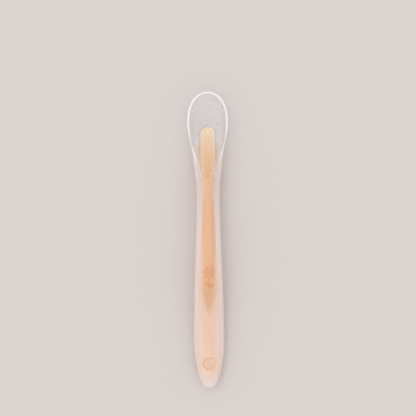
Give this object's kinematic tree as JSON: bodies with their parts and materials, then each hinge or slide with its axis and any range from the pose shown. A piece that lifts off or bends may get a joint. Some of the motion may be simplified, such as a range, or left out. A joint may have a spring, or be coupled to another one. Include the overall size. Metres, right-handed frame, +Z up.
{
  "type": "baby spoon",
  "caption": "Soft feeding spoon for babies: a clear silicone body with a shallow scoop, moulded round a stiff peach plastic core.",
  "frame": {"origin": "middle of the spoon's box on the table plane that it rests on", "axes": "+Y along the spoon towards the bowl's tip, +Z up out of the scoop's mouth, +X across the spoon"},
  "size_m": [0.0216, 0.155, 0.0142],
  "materials": {
    "silicone": "clear silicone rubber, slightly milky, satin",
    "core_plastic": "peach polypropylene, smooth"
  },
  "bodies": {
    "root": {"silicone_body": "silicone", "core": "core_plastic"}
  },
  "joints": []
}
